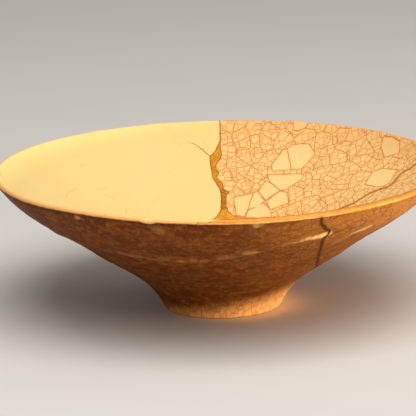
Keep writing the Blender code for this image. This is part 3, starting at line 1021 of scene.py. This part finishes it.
def glaze(name, glazes, crackled, reach):
    """The glaze of a shard, inside, over the lip, outside and on the foot ring, with painted light and shade
    outside, at the foot and on the lip.
    """
    shader = Shader(name)
    place = shader.millimetres()
    from_lip = shader.attribute("from_lip")
    if crackled:
        lines, stain, cell, calm = inside_crackle(shader, place, from_lip, reach)
        body = shader.blend(shader.channel(cell, 1) * 0.6, glazes.cell, glazes.pale_cell)
        body = shader.blend(calm, body, glazes.pale_cell)
        warm = shader.between(from_lip + shader.cloud(place, 9.0, 2.0) * 16.0, -12.0, 8.0)
        body = shader.blend((stain * 0.26).highest(warm * 0.24), body, glazes.stain)
        inside = shader.blend(lines * 0.9, body, glazes.crack)
        inside = shader.blend(shader.between(from_lip, -1.2, 0.2) * 0.45, inside, glazes.stain)
        inside = shader.blend(near_any(shader, place, PLAIN_LIP), inside, glazes.ivory)
    else:
        warm = shader.cloud(place, 22.0, 3.0)
        body = shader.blend(shader.between(warm, 0.35, 0.75), glazes.ivory, glazes.ivory_shade)
        bent = wavering(shader, place, 14.0, 3.0)
        hair = shader.cracks(bent, HAIRLINE_CELLS)
        seen = shader.between(shader.cloud(place, 10.0, 1.0), 0.50, 0.66)
        lines = shader.between(hair, 0.05, 0.32, 1.0, 0.0) * seen * 0.45
        inside = shader.blend(lines, body, glazes.hair)
    beside_break = shader.between(shader.attribute("from_break"), 0.4, 1.3, 0.6, 0.0)
    inside = shader.blend(beside_break, inside, glazes.lacquer_thin)
    inside = shader.blend(near_any(shader, place, RUST_SPOTS) * 0.8, inside, glazes.rust)
    outside, outside_lines = outside_colour(shader, place, glazes, from_lip)
    uneven = from_lip + shader.cloud(place, 2.5) * 0.5 - near_any(shader, place, CHIPS) * 0.6
    # The thin glaze over the lip; its first, weaker step starts on top of the lip and is painted shade that
    # dulls the lip's highlight.
    lip = shader.between(uneven, -0.7, 0.9) * 0.4 + shader.between(uneven, 0.6, 1.7) * 0.6
    colour = shader.blend(lip, inside, glazes.lip)
    is_outside = shader.between(uneven, 1.6, 2.3)
    colour = shader.blend(is_outside, colour, outside)
    grain = shader.cloud(place, 0.9, 3.0)
    height = grain * 0.5 - lines * (1 - is_outside) * 0.6 - outside_lines * is_outside * 0.7
    normal = shader.bump(height, 0.05 * MM, 0.6)
    roughness = 0.40 + 0.12 * grain + 0.10 * is_outside
    shader.shine(base_color=colour, roughness=roughness, normal=normal, specular_ior_level=0.08)
    return shader.material


def gold_leaf(name, powder, rubbed, lacquer, polish, edging):
    """Gold powder on lacquer: speckled, rubbed bright in places and dark at its edge."""
    shader = Shader(name)
    place = shader.millimetres()
    speckle = shader.cloud(place, 0.30, 3.0, 0.7)
    patch = shader.cloud(place, 2.4, 3.0)
    bright = shader.between(patch * 0.6 + speckle * 0.5 + polish, 0.42, 0.80)
    colour = shader.blend(bright, powder, rubbed)
    worn = shader.between(shader.cloud(place, 6.0, 1.0), 0.40, 0.60, 0.0, 0.05)
    worn = worn + near_any(shader, place, WORN_GOLD) * 0.19
    pits = shader.between(speckle + polish * 0.5 - worn, 0.34, 0.46, 1.0, 0.0)
    colour = shader.blend(pits * 0.6, colour, lacquer)
    edge = shader.between(shader.attribute("from_edge") + speckle * 0.3, 0.12, 0.45, 1.0, 0.0)
    colour = shader.blend(edge * edging, colour, lacquer)
    normal = shader.bump(speckle + patch, 0.12 * MM, 0.7)
    roughness = 0.45 + 0.2 * speckle
    shader.shine(base_color=colour, metallic=0.5 * (1 - edge), roughness=roughness, normal=normal,
                 specular_ior_level=0.2)
    return shader.material


def brown_lacquer(name, glazes):
    """Brown lacquer with a soft sheen, thin and light in places."""
    shader = Shader(name)
    place = shader.millimetres()
    from_lip = shader.attribute("from_lip")
    tone = shader.cloud(place, 2.6, 3.0)
    thin = shader.between(tone, 0.26, 0.44) * shader.between(from_lip, 0.0, 2.5, 1.0, 0.03)
    thin = thin * (1 - near_any(shader, place, THICK_LACQUER))
    on_the_left = shader.between(shader.axis(place, 0), 2.0, 16.0, 0.85, 0.0)
    outside = shader.between(from_lip, 1.0, 2.5) * on_the_left
    dark = shader.blend(outside, glazes.lacquer, glazes.outside)
    colour = shader.blend(thin, dark, glazes.lacquer_thin)
    cover = shader.blend(shader.between(from_lip, -0.7, 1.7), glazes.ivory, glazes.lip)
    colour = shader.blend(near_any(shader, place, COVERED_LACQUER), colour, cover)
    normal = shader.bump(tone, 0.05 * MM, 0.6)
    shader.shine(base_color=colour, roughness=0.35 + 0.2 * tone, normal=normal, specular_ior_level=0.06)
    return shader.material


# The operators

class MENDEDBOWL_OT_turn_shards(bpy.types.Operator):
    """Turn the whole bowl and break it into its four glazed shards"""

    bl_idname = "mended_bowl.turn_shards"
    bl_label = "Turn and break the bowl"

    def execute(self, context):
        form, glazes = context.scene.bowl_form, context.scene.bowl_glazes
        blank = spin_profile("blank", bowl_profile(form), form.turn_steps)
        combine(blank, joined_bands("break", bond_lines(form), form.height), "DIFFERENCE")
        use(blank)
        bpy.ops.object.mode_set(mode="EDIT")
        bpy.ops.mesh.separate(type="LOOSE")
        bpy.ops.object.mode_set(mode="OBJECT")
        reach = -profile_run(form)[1][0] / MM
        ivory = glaze("ivory_glaze_look", glazes, crackled=False, reach=reach)
        crackle = glaze("crackled_glaze_look", glazes, crackled=True, reach=reach)
        for shard in list(context.selected_objects):
            places = corners_of(shard)
            middle = Vector((*places[:, :2].mean(axis=0), 0))
            node = min(SHARDS, key=lambda name: (in_plan(form, *SHARDS[name]) - middle).length)
            shard.name = shard.data.name = f"{node}_glazed"
            from_lip = along_profile(form, places)
            store(shard, "from_lip", from_lip)
            ridge = (places[:, 2] - ridge_height(node, bearing_of(places))) / MM
            store(shard, "ridge", np.exp(-(ridge / 1.4) ** 2) * (from_lip > 0))
            bare = smooth_stations(form, RIGHT_BREAK[6:]) + smooth_stations(form, FRONT_BREAK)
            store(shard, "from_break", distance_to(places, bare) / MM)
            work_the_outside(form, shard, node, from_lip)
            sway(form, shard)
            plain = node == "ivory_shard"
            slot = "ivory_glaze" if plain else "crackled_glaze"
            finish_piece(shard, ivory if plain else crackle, slot, node)
        return {"FINISHED"}


class MENDEDBOWL_OT_run_lacquer(bpy.types.Operator):
    """Fill the breaks with brown lacquer, and let it show beside the gold and in the hairline"""

    bl_idname = "mended_bowl.run_lacquer"
    bl_label = "Run in the lacquer"

    def execute(self, context):
        form, mend, glazes = context.scene.bowl_form, context.scene.bowl_mend, context.scene.bowl_glazes
        look = brown_lacquer("lacquer_look", glazes)
        bond = spin_profile("lacquer_bond", bowl_profile(form), form.turn_steps)
        combine(bond, joined_bands("bond", bond_lines(form), form.height), "INTERSECT")
        from_lip = along_profile(form, corners_of(bond))
        store(bond, "from_lip", from_lip)
        work_the_outside(form, bond, "lacquer_bond", from_lip)
        sway(form, bond)
        finish_piece(bond, look, "brown_lacquer", "lacquer_seam")

        layer = layer_profile(form, mend.edging_rise, mend.gold_sink / 2, form.foot_radius)
        sheet = spin_profile("lacquer_sheet", layer, form.sheet_steps, closed=True)
        outlines = [widened(outline, mend.edging_width) for outline in gold_outlines(form)]
        outlines.append(strip_outline(smooth_stations(form, HAIRLINE), 0.3, 5))
        edging = inlay("lacquer_edging", sheet, outlines, form.height, mend.edging_grain)
        sway(form, edging)
        finish_piece(edging, look, "brown_lacquer", sharp=180)
        return {"FINISHED"}


class MENDEDBOWL_OT_lay_gold_seam(bpy.types.Operator):
    """Lay the gold over the breaks inside the bowl"""

    bl_idname = "mended_bowl.lay_gold_seam"
    bl_label = "Lay the gold seam"

    def execute(self, context):
        form, mend, glazes = context.scene.bowl_form, context.scene.bowl_mend, context.scene.bowl_glazes
        layer = layer_profile(form, mend.gold_rise, mend.gold_sink, form.foot_radius)
        sheet = spin_profile("gold_sheet", layer, form.sheet_steps, closed=True)
        outlines = gold_outlines(form)
        gold = inlay("gold_inlay", sheet, outlines, form.height, mend.gold_grain)
        places = corners_of(gold)
        depth = depth_inside(places, outlines)
        middle = np.hypot(places[:, 0], places[:, 1])
        line, run = profile_run(form)
        inner = line[run < 0]
        above = places[:, 2] - np.interp(middle, inner[:, 0], inner[:, 1])
        dome = (depth / (0.8 * MM)).clip(0, 1)
        places[:, 2] -= above.clip(0, None) * 0.55 * (1 - dome) ** 2
        move_corners(gold, places)
        roughen(gold, 0.05 * MM, 0.8)
        store(gold, "from_edge", depth / MM)
        sway(form, gold)
        look = gold_leaf("gold_look", glazes.gold, glazes.gold_bright, glazes.lacquer, 0.05, 0.4)
        finish_piece(gold, look, "gold_powder", "gold_seam", sharp=180)
        return {"FINISHED"}


class MENDEDBOWL_OT_gild_lip(bpy.types.Operator):
    """Rebuild the front right of the lip in gold"""

    bl_idname = "mended_bowl.gild_lip"
    bl_label = "Gild the lip"

    def execute(self, context):
        form, mend, glazes = context.scene.bowl_form, context.scene.bowl_mend, context.scene.bowl_glazes
        top = [
            Vector((form.rim_radius + STRIP_HALF * (2 * i / STRIP_TOP - 1), MM, 0))
            for i in range(STRIP_TOP + 1)
        ]
        bottom = [
            Vector((form.rim_radius + STRIP_HALF * (1 - 2 * i / STRIP_BASE), 0, 0))
            for i in range(STRIP_BASE + 1)
        ]
        sector = math.radians(mend.lip_end - mend.lip_start)
        lip = spin_profile("gold_lip", top + bottom, STRIP_TURN, sector, closed=True)
        places = corners_of(lip)
        across = (np.hypot(places[:, 0], places[:, 1]) - form.rim_radius) / STRIP_HALF
        bearing = (bearing_of(places) - 90 + mend.lip_start) % 360
        uneven = np.array([
            noise.noise(Vector((angle * 0.35, side, 3))) + 0.6 * noise.noise(Vector((angle * 1.3, side, 9)))
            for angle, side in zip(bearing, np.sign(across) * 4)
        ])
        started = ((mend.lip_end - LIP_BARE - bearing) / LIP_TAPER).clip(0, 1) ** 0.8
        thick = ((THICK_FROM - bearing) / THICK_OVER).clip(0, 1)
        inner = INSIDE_REACH + INSIDE_THICK * thick + INSIDE_UNEVEN * uneven
        inner = inner * started - INSIDE_END * (1 - started)
        outer = OUTSIDE_REACH + OUTSIDE_THICK * thick + OUTSIDE_UNEVEN * uneven
        outer = outer * started + OUTSIDE_END * (1 - started)
        run = (outer * (1 + across) - inner * (1 - across)) / 2 * MM
        on_top = places[:, 2] > 0.5 * MM
        crown = mend.lip_rise * (1 - np.abs(across) ** 8)
        radius, height = over_the_lip(form, run, np.where(on_top, crown, -0.5 * MM))
        turn = np.radians(bearing)
        move_corners(lip, np.stack([radius * np.sin(turn), radius * np.cos(turn), height], axis=-1))
        roughen(lip, 0.06 * MM, 0.55)
        store(lip, "from_edge", (1 - np.abs(across)) * (inner + outer) / 2)
        sway(form, lip)
        look = gold_leaf("gold_lip_look", glazes.gold_lip, glazes.gold_lip_bright, glazes.lacquer, 0.12, 0.2)
        finish_piece(lip, look, "gold_powder", "gold_rim", sharp=60)
        return {"FINISHED"}


class MENDEDBOWL_OT_set_stage(bpy.types.Operator):
    """Set the pale floor, the soft light and the camera"""

    bl_idname = "mended_bowl.set_stage"
    bl_label = "Set the stage"

    def execute(self, context):
        stage = context.scene.bowl_stage
        start_fresh()
        bpy.ops.mesh.primitive_plane_add(size=6)
        floor = context.object
        floor.name = "floor"
        shader = Shader("floor_look")
        grain = shader.cloud(shader.millimetres(), 60.0, 2.0)
        shade = tuple(channel * 0.96 for channel in stage.floor)
        shader.shine(base_color=shader.blend(grain, stage.floor, shade), roughness=0.75)
        floor.data.materials.append(shader.material)
        self.add_camera(context, stage)
        for name, light in LIGHTS.items():
            self.add_light(context, name, *light)
        world = bpy.data.worlds.new("studio")
        world.use_nodes = True
        world.node_tree.nodes["Background"].inputs["Color"].default_value = (1.0, 0.97, 0.93, 1)
        world.node_tree.nodes["Background"].inputs["Strength"].default_value = 0.27
        context.scene.world = world
        context.scene.view_settings.view_transform = "Standard"
        return {"FINISHED"}

    def add_camera(self, context, stage):
        tilt, roll = math.radians(stage.elevation), math.radians(stage.roll)
        right = Vector((1, 0, 0))
        up = Vector((0, math.sin(tilt), math.cos(tilt)))
        ahead = Vector((0, math.cos(tilt), -math.sin(tilt)))
        place = stage.aside * right + stage.above * up - stage.distance * ahead
        rolled_right = math.cos(roll) * right - math.sin(roll) * up
        rolled_up = math.sin(roll) * right + math.cos(roll) * up
        data = bpy.data.cameras.new("camera")
        data.lens = stage.lens
        data.clip_start = 0.01
        camera = bpy.data.objects.new("camera", data)
        context.scene.collection.objects.link(camera)
        turn = Matrix((rolled_right, rolled_up, -ahead)).transposed()
        camera.matrix_world = Matrix.Translation(place) @ turn.to_4x4()
        context.scene.camera = camera

    def add_light(self, context, name, place, size, power, colour):
        data = bpy.data.lights.new(name, "AREA")
        data.shape = "RECTANGLE"
        data.size, data.size_y = size
        data.energy = power
        data.color = colour
        lamp = bpy.data.objects.new(name, data)
        context.scene.collection.objects.link(lamp)
        lamp.location = place
        lamp.rotation_euler = (-Vector(place)).to_track_quat("-Z", "Y").to_euler()
        lamp.visible_camera = False


class MENDEDBOWL_PT_panel(bpy.types.Panel):
    """Lists the steps that make the bowl"""

    bl_label = "Mended Bowl"
    bl_idname = "MENDEDBOWL_PT_panel"
    bl_space_type = "VIEW_3D"
    bl_region_type = "UI"
    bl_category = "Mended Bowl"

    def draw(self, context):
        for step in STEPS:
            self.layout.operator(step.bl_idname)


GROUPS = {"bowl_form": BowlForm, "bowl_mend": MendForm, "bowl_glazes": Glazes, "bowl_stage": StageForm}
STEPS = (
    MENDEDBOWL_OT_set_stage,
    MENDEDBOWL_OT_turn_shards,
    MENDEDBOWL_OT_run_lacquer,
    MENDEDBOWL_OT_lay_gold_seam,
    MENDEDBOWL_OT_gild_lip,
)


def register():
    for group in GROUPS.values():
        bpy.utils.register_class(group)
    for name, group in GROUPS.items():
        setattr(bpy.types.Scene, name, PointerProperty(type=group))
    for step in STEPS:
        bpy.utils.register_class(step)
    bpy.utils.register_class(MENDEDBOWL_PT_panel)


def unregister():
    bpy.utils.unregister_class(MENDEDBOWL_PT_panel)
    for step in reversed(STEPS):
        bpy.utils.unregister_class(step)
    for name, group in GROUPS.items():
        delattr(bpy.types.Scene, name)
        bpy.utils.unregister_class(group)


def main():
    register()
    bpy.ops.mended_bowl.set_stage()
    bpy.ops.mended_bowl.turn_shards()
    bpy.ops.mended_bowl.run_lacquer()
    bpy.ops.mended_bowl.lay_gold_seam()
    bpy.ops.mended_bowl.gild_lip()


if __name__ == "__main__":
    main()
